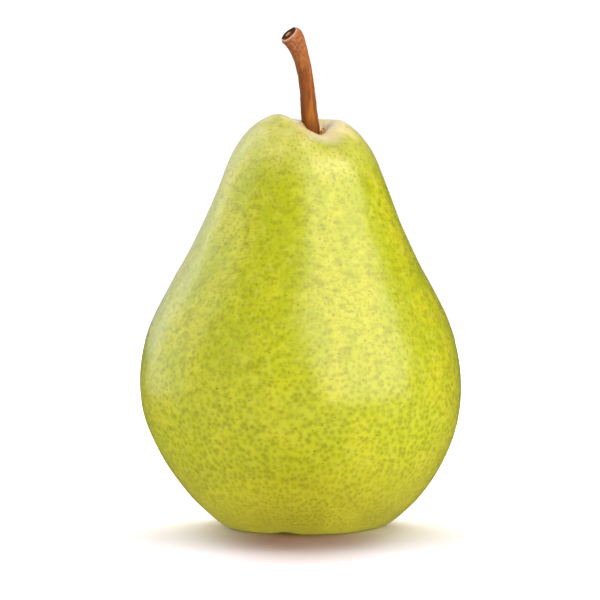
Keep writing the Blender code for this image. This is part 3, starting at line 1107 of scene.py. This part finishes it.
@dataclass
class Fruit:
    """The fleshy body with its humped crown, stalk cavity and lobed calyx basin."""

    low: Vector
    high: Vector
    sides: int = 72
    rings_per_stretch: int = 2
    # each point as shares of the radius and of the height
    outline: tuple[tuple[float, float], ...] = (
        (0.400, -0.002),
        (0.456, -0.002),
        (0.529, 0.008),
        (0.617, 0.036),
        (0.711, 0.071),
        (0.875, 0.166),
        (0.972, 0.261),
        (1.000, 0.352),
        (0.967, 0.454),
        (0.859, 0.552),
        (0.726, 0.648),
        (0.607, 0.746),
        (0.507, 0.843),
        (0.440, 0.908),
        (0.372, 0.948),
        (0.300, 0.975),
        (0.226, 0.992),
        (0.161, 1.000),
        (0.115, 1.000),
        (0.080, 1.000),
        (0.045, 1.000),
        (0.010, 1.000),
    )
    # each point as shares of the radius and of the basin's depth
    basin: tuple[tuple[float, float], ...] = ((0.010, 1.0), (0.100, 0.96), (0.205, 0.64), (0.310, 0.22))
    basin_depth: float = 6.2 * MM
    crown_share: float = 93.0 / 93.4  # the outline's top as a share of the highest hump
    fullness: float = 0.12 * MM  # makes up for what smoothing takes off
    base_top: float = 0.36  # share of the height at which the base's shift has faded out
    neck_start: float = 0.47  # share of the height at which the neck's shift begins
    shoulder: float = 0.82  # share of the height at which the crown begins
    base_shift: Vector = Vector((1.0, 0.3, 0.0)) * MM
    neck_shift: Vector = Vector((0.65, -0.4, 0.0)) * MM
    stalk_foot: Vector = Vector((2.45, 0.0, 89.5)) * MM
    stalk_pull: tuple[float, float] = (2.0 * MM, 6.6 * MM)  # radii of the rings that gather round it
    lobes: int = 5
    lobe_turn: float = math.radians(2.0)
    cleft_shares: tuple[float, ...] = (0.5, 0.8, 0.4, 1.0, 0.1)
    lobe_swell: float = 0.016  # share of the radius
    lobe_top: float = 26.0 * MM  # height at which the lobes have faded out
    cleft_lift: float = 0.75 * MM
    cleft_end: float = 0.62  # share of the radius at which a cleft has run out
    lump_sizes: tuple[tuple[float, float], ...] = ((11.0 * MM, 0.34 * MM), (5.0 * MM, 0.16 * MM))

    @property
    def radius(self) -> float:
        """Greatest radius, from side to side."""
        return (self.high.x - self.low.x) / 2.0

    @property
    def height(self) -> float:
        """Height of the outline's top."""
        return self.high.z * self.crown_share

    def middle(self, height: float, radius: float) -> Vector:
        """Find where the middle of a ring lies.

        Args:
            height: Height of the ring.
            radius: Radius of the ring.

        Returns:
            The ring's centre.
        """
        shoulder = self.shoulder * self.height
        bend = self.base_shift * (1.0 - fade(height, 0.0, self.base_top * self.height))
        bend += self.neck_shift * fade(height, self.neck_start * self.height, shoulder)
        if height > shoulder:
            inward = 1.0 - fade(radius, *self.stalk_pull)
            foot = Vector((self.stalk_foot.x, self.stalk_foot.y, 0.0))
            bend += (foot - self.neck_shift) * inward
        return Vector((bend.x, bend.y, height))

    def rings(self) -> list[Ring]:
        """List the rings from the eye of the basin up to the foot of the stalk."""
        points = [(share * self.radius, depth * self.basin_depth) for share, depth in self.basin]
        points += [(share * self.radius, height * self.height) for share, height in self.outline]
        rings = []
        for point in smooth_through(points, self.rings_per_stretch):
            extra = self.fullness * fade(point.x, 0.5 * self.radius, 0.9 * self.radius)
            rings.append(Ring(self.middle(point.y, point.x), max(point.x + extra, 0.2 * MM)))
        return rings

    def dome(self, x: float, y: float) -> float:
        """Return the height of the plain dome at the top.

        Args:
            x: Place along X.
            y: Place along Y.

        Returns:
            The height of the surface there.
        """
        top = [point for point in reversed(self.outline) if point[1] > 0.5]
        radii = [share * self.radius for share, _ in top]
        heights = [share * self.height for _, share in top]
        return read_curve(radii, heights, math.hypot(x - self.neck_shift.x, y - self.neck_shift.y))

    def body_grabs(self) -> list[Grab]:
        """List the broad pulls that keep the body from being a perfect turning."""
        r, h = self.radius, self.height
        return [
            Grab((-0.45 * r, -0.80 * r, 0.42 * h), (0.1 * MM, 0.5 * MM, 0.0), 0.5 * r),
            Grab((0.35 * r, -0.86 * r, 0.36 * h), (0.0, -0.35 * MM, 0.0), 0.45 * r),
            Grab((0.30 * r, -0.50 * r, 0.70 * h), (0.0, -0.3 * MM, 0.0), 0.4 * r),
            Grab((-0.30 * r, -0.45 * r, 0.74 * h), (0.0, 0.35 * MM, 0.0), 0.35 * r),
            Grab((0.10 * r, 0.95 * r, 0.40 * h), (0.0, -0.7 * MM, 0.0), 0.7 * r),
            Grab((-0.25 * r, 0.55 * r, 0.70 * h), (0.0, 0.5 * MM, 0.0), 0.5 * r),
            Grab((0.96 * r, 0.0, 0.19 * h), (0.35 * MM, 0.0, 0.0), 0.65 * r),
            Grab((0.62 * r, 0.0, 0.69 * h), (-0.3 * MM, 0.0, 0.0), 0.4 * r),
        ]

    def lobe_turn_at(self, place: Vector) -> float:
        """Return how far round the base a point lies from the middle of the first lobe.

        Args:
            place: Point of the fruit.

        Returns:
            The angle in radians.
        """
        turn = math.atan2(place.y - self.base_shift.y, place.x - self.base_shift.x)
        return turn - self.lobe_turn

    def settle(self, obj: bpy.types.Object) -> None:
        """Swell the lobes, cleave them, shape the crown and flatten what rests on the floor.

        Args:
            obj: The fruit, smoothed.
        """
        crown = Crown(self.stalk_foot)
        for vertex in obj.data.vertices:
            place = vertex.co
            if place.z < self.lobe_top:
                low = 1.0 - fade(place.z, 0.0, self.lobe_top)
                turn = self.lobe_turn_at(place)
                wave = math.cos(self.lobes * turn)  # 1 on a lobe, -1 in a cleft
                share = self.cleft_shares[int(turn % math.tau / math.tau * self.lobes) % self.lobes]
                reach = math.hypot(place.x - self.base_shift.x, place.y - self.base_shift.y) / self.radius
                swell = 1.0 + self.lobe_swell * low * wave * fade(reach, 0.3, 0.6)
                place.x = self.base_shift.x + (place.x - self.base_shift.x) * swell
                place.y = self.base_shift.y + (place.y - self.base_shift.y) * swell
                cleft = ((1.0 - wave) / 2.0) ** 6 * math.sin(math.pi * min(reach / self.cleft_end, 1.0))
                place.z += self.cleft_lift * share * low * cleft
            elif place.z > self.shoulder * self.height:
                place.z += crown.shift(place, self.dome)
            place.z = max(place.z, 0.0)

    def build(self) -> bpy.types.Object:
        """Model the fruit and dress it."""
        obj = grow_rings("fruit_flesh", self.rings(), self.sides)
        for grab in self.body_grabs():
            soft_grab(obj, grab)
        subdivide(obj, 2)
        for seed, (size, depth) in enumerate(self.lump_sizes):
            roughen(obj, size, depth, seed)
        self.settle(obj)
        eye = Vector((self.base_shift.x, self.base_shift.y, self.basin_depth))
        skin = PearSkin(self.high.z, self.radius, self.stalk_foot, eye)
        hand_in(obj, "fruit", skin.material())
        return obj


# ---------------------------------------------------------------- stalk


@dataclass
class Stalk:
    """The woody stalk, which leans left, swells at its tip and ends in a hollow scar."""

    root: float  # height of its lower end, in the socket
    socket_depth: float = 5.5 * MM
    sides: int = 24
    rings_per_stretch: int = 3
    # middle line as (x, y, height above the stalk's root, radius) in mm
    line: tuple[tuple[float, float, float, float], ...] = (
        (2.65, 0.0, 0.0, 1.60),
        (2.65, 0.0, 3.0, 1.90),
        (2.45, 0.0, 6.0, 1.98),
        (2.02, -0.1, 9.5, 1.88),
        (1.68, -0.2, 14.0, 1.72),
        (1.03, -0.3, 18.6, 1.72),
        (0.08, -0.4, 22.4, 1.86),
        (-0.84, -0.5, 24.75, 2.22),
    )
    # collar and rim as (x, y, height above the root, radius) in mm, then lean and nod in degrees
    collar: tuple[tuple[float, ...], ...] = (
        (-1.24, -0.56, 25.65, 2.42, -23.0, 5.0),
        (-1.58, -0.66, 26.15, 2.54, -30.0, 12.0),
        (-1.92, -0.78, 26.52, 2.52, -36.0, 18.0),
        (-2.22, -0.94, 26.82, 2.38, -37.0, 23.0),
        (-2.42, -1.06, 27.05, 2.19, -37.0, 25.0),
        (-2.52, -1.12, 27.16, 2.02, -37.0, 25.0),
    )
    # inside of the scar as (depth below the rim, radius) in mm
    scar: tuple[tuple[float, float], ...] = (
        (0.06, 1.84),
        (0.22, 1.66),
        (0.30, 1.34),
        (0.16, 0.95),
        (0.02, 0.5),
        (0.0, 0.15),
    )
    # lumps of the bark, as their size and height
    lump_sizes: tuple[tuple[float, float], ...] = ((1.7 * MM, 0.26 * MM), (0.6 * MM, 0.07 * MM))

    def rings(self) -> list[Ring]:
        """List the rings from the root to the middle of the scar."""
        knots = [(x * MM, y * MM, self.root + z * MM, radius * MM) for x, y, z, radius in self.line]
        curve = smooth_through(knots, self.rings_per_stretch)
        rings = [Ring(curve[0].xyz, 0.2 * MM)]
        for index, point in enumerate(curve):
            along = curve[min(index + 1, len(curve) - 1)].xyz - curve[max(index - 1, 0)].xyz
            rings.append(Ring(point.xyz, point.w, math.atan2(along.x, along.z)))
        for x, y, z, radius, lean, nod in self.collar:
            centre = Vector((x * MM, y * MM, self.root + z * MM))
            rings.append(Ring(centre, radius * MM, math.radians(lean), math.radians(nod)))
        rim = rings[-1]
        inward = -self.facing(rim)
        for depth, radius in self.scar:
            rings.append(Ring(rim.centre + inward * (depth * MM), radius * MM, rim.lean, rim.nod))
        return rings

    def facing(self, ring: Ring) -> Vector:
        """Return the direction that a ring faces.

        Args:
            ring: The ring.

        Returns:
            Its unit normal.
        """
        flat = math.cos(ring.nod)
        return Vector((flat * math.sin(ring.lean), -math.sin(ring.nod), flat * math.cos(ring.lean)))

    def build(self) -> bpy.types.Object:
        """Model the stalk and dress it."""
        rings = self.rings()
        obj = grow_rings("stalk_wood", rings, self.sides)
        rim = rings[-1 - len(self.scar)]
        subdivide(obj, 2)
        for seed, (size, depth) in enumerate(self.lump_sizes):
            roughen(obj, size, depth, seed)
        bark = StalkBark(self.root + self.socket_depth, rim.centre, self.facing(rim))
        hand_in(obj, "stalk", bark.material())
        return obj


@dataclass
class FootScale:
    """The dry brown scale that curls up at the foot of the stalk."""

    low: Vector
    high: Vector
    width: float = 1.9 * MM
    spare: float = 1.35  # its flat length for each mm that it stands high
    tip_share: float = 0.5  # width of its tip as a share of its foot's
    thickness: float = 0.14 * MM
    curl: float = math.radians(120.0)
    tilt: tuple[float, float, float] = (math.radians(78.0), 0.0, math.radians(35.0))
    shift: Vector = Vector((0.55, -0.5, -1.05)) * MM
    columns: int = 4
    rows: int = 6

    def build(self) -> bpy.types.Object:
        """Model the scale and dress it."""
        span = self.high - self.low
        middle = (self.low + self.high) / 2.0
        obj = flat_leaf("foot_scale_leaf", self.columns, self.rows, self.width, span.z * self.spare)
        select_vertices(obj, lambda spot: spot.y > 0.3 * span.z)
        with edit_mode():
            bpy.ops.transform.resize(value=(self.tip_share, 1.0, 1.0), center_override=(0.1 * MM, 0.0, 0.0))
        soft_grab(obj, Grab((0.3 * MM, 0.2 * MM, 0.0), (0.0, 0.0, 0.25 * MM), 0.6 * MM))
        soft_grab(obj, Grab((-0.3 * MM, 0.5 * MM, 0.0), (0.1 * MM, 0.0, -0.2 * MM), 0.5 * MM))
        apply_modifier(obj, "SIMPLE_DEFORM", deform_method="BEND", angle=self.curl, deform_axis="X")
        apply_modifier(obj, "SOLIDIFY", thickness=self.thickness, offset=0.0)
        subdivide(obj, 2)
        roughen(obj, 0.5 * MM, 0.10 * MM, 0)
        obj.rotation_euler = self.tilt
        obj.location = middle + self.shift
        dry = DriedTissue("foot_scale_finish", (0.560, 0.300, 0.100), (0.110, 0.035, 0.008), 0.45)
        hand_in(obj, "foot_scale", dry.material())
        return obj


# ---------------------------------------------------------------- calyx


@dataclass
class Calyx:
    """The dried eye of the pear: five curled sepals round a tuft of threads."""

    centre: Vector
    foot_height: float  # height of the basin's roof, from which all hangs
    sepals: int = 5
    sepal_length: float = 6.4 * MM
    sepal_width: float = 3.3 * MM
    sepal_columns: int = 12  # a row of points for each one that is read from its middle line
    sepal_hold: float = 0.6 * MM  # how far a sepal's root goes into the flesh
    thread_hold: float = 0.8 * MM  # how far a thread's root goes into the flesh
    foot_radius: float = 3.0 * MM
    # middle line of a sepal as (outward, downward) in mm, and the share of its width
    sepal_line: tuple[tuple[float, float, float], ...] = (
        (0.0, 0.0, 0.80),
        (0.35, 1.7, 1.00),
        (1.3, 3.1, 0.88),
        (2.7, 3.9, 0.55),
        (4.1, 3.8, 0.08),
    )
    thickness: float = 0.22 * MM
    dents: int = 6  # small crumples in each sepal
    threads: int = 17
    tuft_radius: float = 1.5 * MM
    # a thread with its knob, as (share of the length, radius in mm)
    thread_line: tuple[tuple[float, float], ...] = (
        (0.0, 0.05),
        (0.01, 0.15),
        (0.4, 0.12),
        (0.75, 0.11),
        (0.86, 0.24),
        (0.95, 0.26),
        (1.0, 0.05),
    )
    seed: int = 7

    def sepal(self, number: int, chance: random.Random) -> bpy.types.Object:
        """Model one sepal, hung from the basin and curled outwards.

        Args:
            number: Which sepal, from 1.
            chance: Source of small differences.

        Returns:
            The sepal.
        """
        name = f"sepal_{number}_leaf"
        obj = flat_leaf(name, self.sepal_columns, 6, self.sepal_length, self.sepal_width)
        with edit_mode():
            bpy.ops.transform.translate(value=(self.sepal_length / 2.0, 0.0, 0.0))
        stretch = chance.uniform(0.85, 1.15)
        droop = chance.uniform(0.85, 1.05)
        line = smooth_through(self.sepal_line, self.sepal_columns // (len(self.sepal_line) - 1))
        for row, (out, drop, width) in enumerate(line):
            at = self.sepal_length * row / (len(line) - 1)
            select_vertices(obj, lambda spot, at=at: abs(spot.x - at) < 0.01 * MM and spot.z == 0.0)
            move = (out * stretch * MM - at, 0.0, -drop * droop * MM - 0.01 * MM)
            with edit_mode():
                bpy.ops.transform.resize(value=(1.0, max(width, 0.05), 1.0), center_override=(at, 0.0, 0.0))
                bpy.ops.transform.translate(value=move)
        for _ in range(self.dents):
            out, drop, _width = chance.choice(line[3:])
            spot = (out * stretch * MM, chance.uniform(-1.2, 1.2) * MM, -drop * droop * MM)
            push = chance.uniform(-0.4, 0.4) * MM
            soft_grab(obj, Grab(spot, (push, 0.0, push), 1.2 * MM))
        apply_modifier(obj, "SOLIDIFY", thickness=self.thickness, offset=0.0)
        subdivide(obj, 2)
        roughen(obj, 0.8 * MM, 0.10 * MM, number)
        angle = math.tau * (number - 0.5) / self.sepals + chance.uniform(-0.12, 0.12)
        foot_out = Vector((math.cos(angle), math.sin(angle), 0.0)) * self.foot_radius
        obj.rotation_euler = (0.0, 0.0, angle)
        obj.location = self.centre + foot_out + Vector((0.0, 0.0, self.foot_height + self.sepal_hold))
        return obj

    def thread_rings(self, index: int, chance: random.Random) -> list[Ring]:
        """List the rings of one dry thread with its knob.

        Args:
            index: Which thread.
            chance: Source of small differences.

        Returns:
            The rings from the root to the tip of the knob.
        """
        angle = index * GOLDEN_ANGLE
        spread = self.tuft_radius * math.sqrt((index + 0.5) / self.threads)
        out = Vector((math.cos(angle), math.sin(angle), 0.0))
        root = self.centre + out * spread + Vector((0.0, 0.0, self.foot_height + self.thread_hold))
        length = chance.uniform(2.4, 3.8) * MM
        splay = chance.uniform(0.1, 0.7) * MM
        side = Vector((-out.y, out.x, 0.0)) * chance.uniform(-0.35, 0.35) * MM
        rings = []
        for share, radius in self.thread_line:
            drop = Vector((0.0, 0.0, -length * share))
            centre = root + drop + out * splay * share**2 + side * math.sin(2.5 * share)
            rings.append(Ring(centre, radius * MM))
        return rings

    def tuft(self, chance: random.Random) -> bpy.types.Object:
        """Model the tuft of threads as one piece.

        Args:
            chance: Source of small differences.

        Returns:
            The tuft.
        """
        strands = []
        for index in range(self.threads):
            strand = grow_rings(f"thread_{index}", self.thread_rings(index, chance), 8)
            subdivide(strand, 1)
            strands.append(strand)
        deselect_all()
        for strand in strands:
            strand.select_set(True)
        bpy.context.view_layer.objects.active = strands[0]
        bpy.ops.object.join()
        strands[0].name = strands[0].data.name = "stamen_threads"
        return strands[0]

    def build(self) -> list[bpy.types.Object]:
        """Model the sepals and the tuft and dress them."""
        chance = random.Random(self.seed)
        leaf = DriedTissue("sepal_finish", (0.130, 0.070, 0.035), (0.035, 0.018, 0.010), 0.4)
        thread = DriedTissue("stamen_finish", (0.090, 0.045, 0.022), (0.025, 0.013, 0.008), 0.3, 0.85)
        leaf_material, thread_material = leaf.material(), thread.material()
        pieces = []
        for number in range(1, self.sepals + 1):
            sepal = self.sepal(number, chance)
            hand_in(sepal, f"sepal_{number}", leaf_material)
            pieces.append(sepal)
        tuft = self.tuft(chance)
        hand_in(tuft, "stamen_tuft", thread_material)
        return [*pieces, tuft]


# ---------------------------------------------------------------- studio


class Lights(Enum):
    """What a softbox lights."""

    PEAR = "pear"
    FLOOR = "floor"


@dataclass(frozen=True)
class Softbox:
    """One large soft light aimed at the pear.

    Attributes:
        name: Name of the light.
        azimuth: Degrees from the front towards the right.
        elevation: Degrees above the floor.
        distance: Distance from the aim point.
        width: Width of the light.
        height: Height of the light.
        radiance: Brightness of its surface, where 1 is white.
        lights: What it lights.
        tint: Colour of its light.
        shadows: Whether what stands in its way throws a shadow.
        gleams: Whether it is mirrored in what it lights.
    """

    name: str
    azimuth: float
    elevation: float
    distance: float
    width: float
    height: float
    radiance: float
    lights: Lights
    tint: Colour = (1.0, 1.0, 1.0)
    shadows: bool = True
    gleams: bool = True

    def hang(self, aim: Vector) -> bpy.types.Object:
        """Place the light so that it faces the aim point.

        Args:
            aim: Point that the light faces.

        Returns:
            The light's object.
        """
        data = bpy.data.lights.new(self.name, "AREA")
        data.shape = "RECTANGLE"
        data.size, data.size_y = self.width, self.height
        data.energy = self.radiance * math.pi * self.width * self.height
        data.color = self.tint
        data.use_shadow = self.shadows
        obj = bpy.data.objects.new(self.name, data)
        obj.visible_glossy = self.gleams
        bpy.context.scene.collection.objects.link(obj)
        turn, rise = math.radians(self.azimuth), math.radians(self.elevation)
        away = Vector((math.sin(turn) * math.cos(rise), -math.cos(turn) * math.cos(rise), math.sin(rise)))
        obj.location = aim + away * self.distance
        obj.rotation_euler = away.to_track_quat("Z", "Y").to_euler()
        return obj


@dataclass
class Studio:
    """Pale floor with a painted shadow round the pear's foot, soft lights and the camera."""

    aim_height: float = 51.1 * MM
    camera_distance: float = 1.60
    camera_elevation: float = 5.0
    frame_width: float = 135.0 * MM  # width that the camera takes in at the pear
    sensor_width: float = 36.0  # of the camera, in its own millimetres
    floor_radius: float = 0.45
    floor_thickness: float = 0.004
    surround: float = 0.10  # brightness of the room as fill light
    surround_gleam: float = 0.06  # brightness of the room in reflections
    backdrop: float = 1.05  # brightness of what the camera sees behind the pear
    floor_tone: Colour = (0.97, 0.90, 0.95)
    floor_cloud: Colour = (0.94, 0.90, 0.86)
    # painted shadow on the floor, soft patches that deepen the contact shadow: stretch, reach and full
    # strength in mm, colour
    painted_shadows: tuple[tuple[Colour, float, float, Colour], ...] = (
        ((2.2, 0.75, 1.0), 62.0, 8.0, (0.60, 0.48, 0.46)),
        ((0.90, 0.75, 1.0), 21.0, 3.0, (0.42, 0.20, 0.17)),
    )
    painted_shadow_middle: Vector = Vector((0.0, -20.0, 0.0)) * MM
    softboxes: tuple[Softbox, ...] = (
        Softbox("key_right", 47.5, 24.0, 0.55, 0.84, 0.74, 2.5, Lights.PEAR, (1.0, 0.925, 0.87)),
        Softbox("fill_left", -112.0, 26.0, 0.62, 0.66, 0.90, 0.90, Lights.PEAR),
        Softbox("wash_front", -15.0, 15.0, 0.80, 1.20, 0.80, 0.36, Lights.PEAR, gleams=False),
        Softbox("wash_left", -75.0, 10.0, 0.70, 1.00, 0.80, 1.30, Lights.PEAR, gleams=False),
        Softbox("wash_right", 90.0, 10.0, 0.70, 1.00, 0.80, 0.45, Lights.PEAR, gleams=False),
        Softbox("overhead", 50.0, 74.0, 0.60, 0.70, 0.60, 2.2, Lights.PEAR, gleams=False),
        Softbox("rim_back", -160.0, 24.0, 0.80, 1.10, 0.70, 0.62, Lights.PEAR),
        Softbox(
            "table_glow", -20.0, -68.0, 0.40, 0.60, 0.60, 2.7, Lights.PEAR, (1.0, 0.97, 0.95), False, False
        ),
        Softbox("table_back", 180.0, 52.0, 0.80, 1.40, 0.80, 4.8, Lights.FLOOR),
        Softbox("table_left", -97.0, 22.0, 0.50, 0.50, 0.36, 3.2, Lights.FLOOR),
        Softbox("table_right", 97.0, 22.0, 0.50, 0.50, 0.36, 3.2, Lights.FLOOR),
    )

    def lay_floor(self) -> bpy.types.Object:
        """Lay the pale floor as a thin round slab, with a painted shadow in front of the pear."""
        deselect_all()
        middle = (0.0, 0.0, -self.floor_thickness / 2.0)
        bpy.ops.mesh.primitive_cylinder_add(
            vertices=96, radius=self.floor_radius, depth=self.floor_thickness, location=middle
        )
        floor = bpy.context.object
        floor.name = "studio_floor"
        bpy.ops.object.transform_apply(location=True, rotation=True, scale=True)
        board = NodeBoard("floor_finish")
        tone = self.floor_tone
        # painted shadow: darker tones laid round the pear's foot
        for stretch, reach, full, shadow_tone in self.painted_shadows:
            away = board.distance(self.painted_shadow_middle, board.stretched(stretch))
            tone = board.lay(tone, shadow_tone, board.step(away, reach, full))
        tone = board.lay(tone, self.floor_cloud, board.step(board.noise(40.0), 0.3, 0.7), 0.2)
        floor.data.materials.append(board.shade(tone, 0.9))
        floor.visible_glossy = False
        return floor

    def light_room(self, pieces: Sequence[bpy.types.Object], floor: bpy.types.Object) -> None:
        """Hang the softboxes and set the pale surround.

        Args:
            pieces: The pieces of the pear.
            floor: The floor.
        """
        lit = {kind: bpy.data.collections.new(f"lit_{kind.value}") for kind in Lights}
        lit[Lights.FLOOR].objects.link(floor)
        for piece in pieces:
            lit[Lights.PEAR].objects.link(piece)
        for softbox in self.softboxes:
            light = softbox.hang(Vector((0.0, 0.0, self.aim_height)))
            light.light_linking.receiver_collection = lit[softbox.lights]
        world = bpy.data.worlds.new("studio_surround")
        world.use_nodes = True
        nodes, links = world.node_tree.nodes, world.node_tree.links
        room = nodes["Background"]
        room.inputs["Color"].default_value = (1.0, 1.0, 1.0, 1.0)
        backdrop = nodes.new("ShaderNodeBackground")
        backdrop.inputs["Color"].default_value = (1.0, 1.0, 1.0, 1.0)
        backdrop.inputs["Strength"].default_value = self.backdrop
        choose = nodes.new("ShaderNodeMixShader")
        path = nodes.new("ShaderNodeLightPath")
        dim = nodes.new("ShaderNodeMapRange")
        dim.inputs["To Min"].default_value = self.surround
        dim.inputs["To Max"].default_value = self.surround_gleam
        links.new(path.outputs["Is Glossy Ray"], dim.inputs["Value"])
        links.new(dim.outputs["Result"], room.inputs["Strength"])
        links.new(path.outputs["Is Camera Ray"], choose.inputs[0])
        links.new(room.outputs[0], choose.inputs[1])
        links.new(backdrop.outputs[0], choose.inputs[2])
        links.new(choose.outputs[0], nodes["World Output"].inputs["Surface"])
        bpy.context.scene.world = world
        bpy.context.scene.view_settings.view_transform = "Standard"
        bpy.context.scene.view_settings.look = "None"

    def set_camera(self) -> None:
        """Stand the camera in front, a little above the middle of the pear."""
        data = bpy.data.cameras.new("studio_camera")
        data.sensor_width = self.sensor_width
        data.lens = self.sensor_width * self.camera_distance / self.frame_width
        data.clip_start = 0.05
        camera = bpy.data.objects.new("studio_camera", data)
        bpy.context.scene.collection.objects.link(camera)
        rise = math.radians(self.camera_elevation)
        away = Vector((0.0, -math.cos(rise), math.sin(rise)))
        camera.location = Vector((0.0, 0.0, self.aim_height)) + away * self.camera_distance
        camera.rotation_euler = away.to_track_quat("Z", "Y").to_euler()
        bpy.context.scene.camera = camera


def main() -> None:
    """Build the pear piece by piece, then the studio round it."""
    logging.basicConfig(level=logging.INFO, format="%(message)s")
    pieces = [
        Fruit(*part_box("fruit")).build(),
        Stalk(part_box("stalk")[0].z).build(),
        FootScale(*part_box("foot_scale")).build(),
    ]
    tuft_low, tuft_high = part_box("stamen_tuft")
    tuft_middle = (tuft_low + tuft_high) / 2.0
    pieces += Calyx(Vector((tuft_middle.x, tuft_middle.y, 0.0)), tuft_high.z).build()
    studio = Studio()
    studio.light_room(pieces, studio.lay_floor())
    studio.set_camera()


if __name__ == "__main__":
    main()
